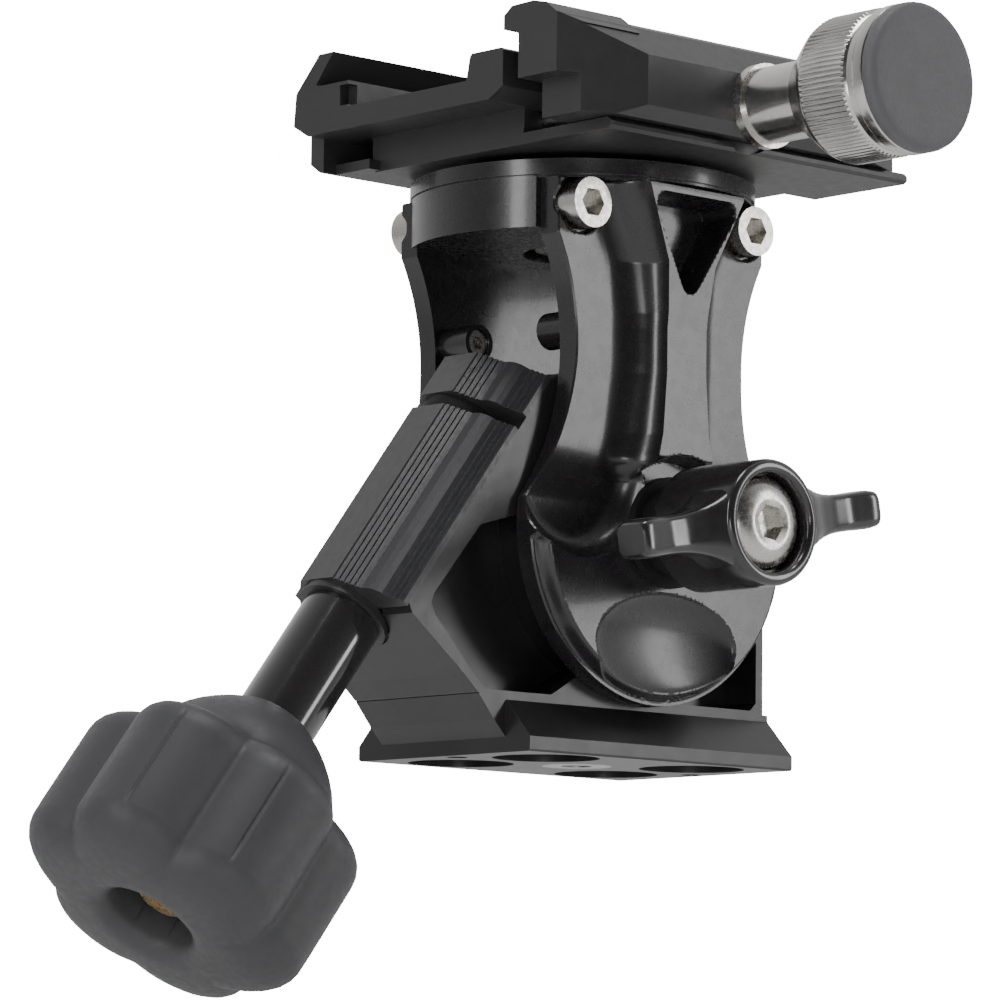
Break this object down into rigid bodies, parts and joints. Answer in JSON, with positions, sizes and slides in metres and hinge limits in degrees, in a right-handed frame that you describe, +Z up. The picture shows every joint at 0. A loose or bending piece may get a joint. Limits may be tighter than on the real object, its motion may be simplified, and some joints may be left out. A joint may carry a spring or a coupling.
{
  "type": "alt azimuth mount",
  "caption": "Altitude-azimuth telescope mount: machined base with an inclined worm drive, hourglass yoke with a wing lock, panning disc and a long dovetail clamp.",
  "frame": {"origin": "centre of the base's underside, at the mouth of the tripod thread", "axes": "+X away from the drive arm and along the dovetail seat, +Y towards the rear plate and the rear jaw, +Z up out of the base"},
  "size_m": [0.2294, 0.1716, 0.25],
  "materials": {
    "anodised_black": "satin black anodised",
    "steel_insert": "machined",
    "anodised_grey": "satin graphite anodised, ribbed",
    "pin_steel": "ground",
    "bronze": "turned bronze",
    "seal_black": "matte",
    "friction": "matte",
    "anodised_gloss": "bright black anodised",
    "stainless": "stainless, bright",
    "wheel_brass": "hobbed",
    "stud_steel": "turned",
    "tube_black": "gloss black",
    "knob_rubber": "soft dark grey",
    "screw_brass": "nickel over brass",
    "wing_gloss": "gloss black",
    "anodised_satin": "satin black anodised",
    "ring_black": "matte",
    "cap_black": "textured black"
  },
  "bodies": {
    "base": {"base_block": "anodised_black", "tripod_insert": "steel_insert", "ribbed_housing": "anodised_grey", "end_housing": "anodised_grey", "housing_dowels": "pin_steel", "lower_bush": "bronze", "upper_bush": "bronze", "gap_liner": "seal_black", "hub_bushes": "bronze", "friction_rings": "friction"},
    "yoke": {"near_plate": "anodised_gloss", "far_plate": "anodised_gloss", "pan_hub": "anodised_gloss", "plate_screws": "stainless", "stop_bosses": "anodised_gloss", "stop_screws": "stainless", "axle_drum": "pin_steel", "worm_wheel": "wheel_brass", "axle_dowels": "pin_steel", "pivot_stud": "stud_steel", "stud_nut": "stud_steel", "stud_washer": "stud_steel", "wing_washer": "stainless"},
    "worm_drive": {"worm_shaft": "pin_steel", "worm_thread": "pin_steel", "drive_tube": "tube_black", "star_knob": "knob_rubber", "knob_core": "stud_steel", "knob_screw": "screw_brass", "knob_washer": "stud_steel", "thrust_collar": "pin_steel"},
    "altitude_lock": {"wing_knob": "wing_gloss", "wing_screw": "stainless"},
    "clamp": {"clamp_body": "anodised_satin", "pan_ring": "ring_black", "pan_screw": "stainless", "pan_nut": "stud_steel", "jaw_guides": "pin_steel"},
    "jaw": {"moving_jaw": "anodised_satin", "stem_washer": "stainless"},
    "clamp_knob": {"clamp_stem": "stainless", "knurled_ring": "stainless", "knob_cap": "cap_black"}
  },
  "joints": [
    {"name": "altitude_tilt", "type": "hinge", "parent": "base", "child": "yoke", "pos_m": [0, 0, 0.0585], "axis": [0, 1, 0], "range_deg": [-8, 65]},
    {"name": "worm_spin", "type": "hinge", "parent": "base", "child": "worm_drive", "pos_m": [-0.07797, 0, 0.03716], "axis": [0.6101, 0, 0.7923], "range_deg": [-3260, 410]},
    {"name": "altitude_lock_turn", "type": "hinge", "parent": "yoke", "child": "altitude_lock", "pos_m": [0, 0, 0.0585], "axis": [0, -1, 0], "range_deg": [-120, 60]},
    {"name": "azimuth_pan", "type": "hinge", "parent": "yoke", "child": "clamp", "pos_m": [0, 0, 0.1521], "axis": [0, 0, 1], "continuous": true},
    {"name": "jaw_slide", "type": "slide", "parent": "clamp", "child": "jaw", "axis": [0, 1, 0], "range_m": [0, 0.0064]},
    {"name": "clamp_knob_spin", "type": "hinge", "parent": "jaw", "child": "clamp_knob", "pos_m": [0, -0.078, 0.1651], "axis": [0, -1, 0], "range_deg": [-1900, 10]}
  ],
  "couplings": [
    {"joint": "worm_spin", "follows": "altitude_tilt", "ratio": -50},
    {"joint": "clamp_knob_spin", "follows": "jaw_slide", "rad_per_m": -5026.5}
  ]
}
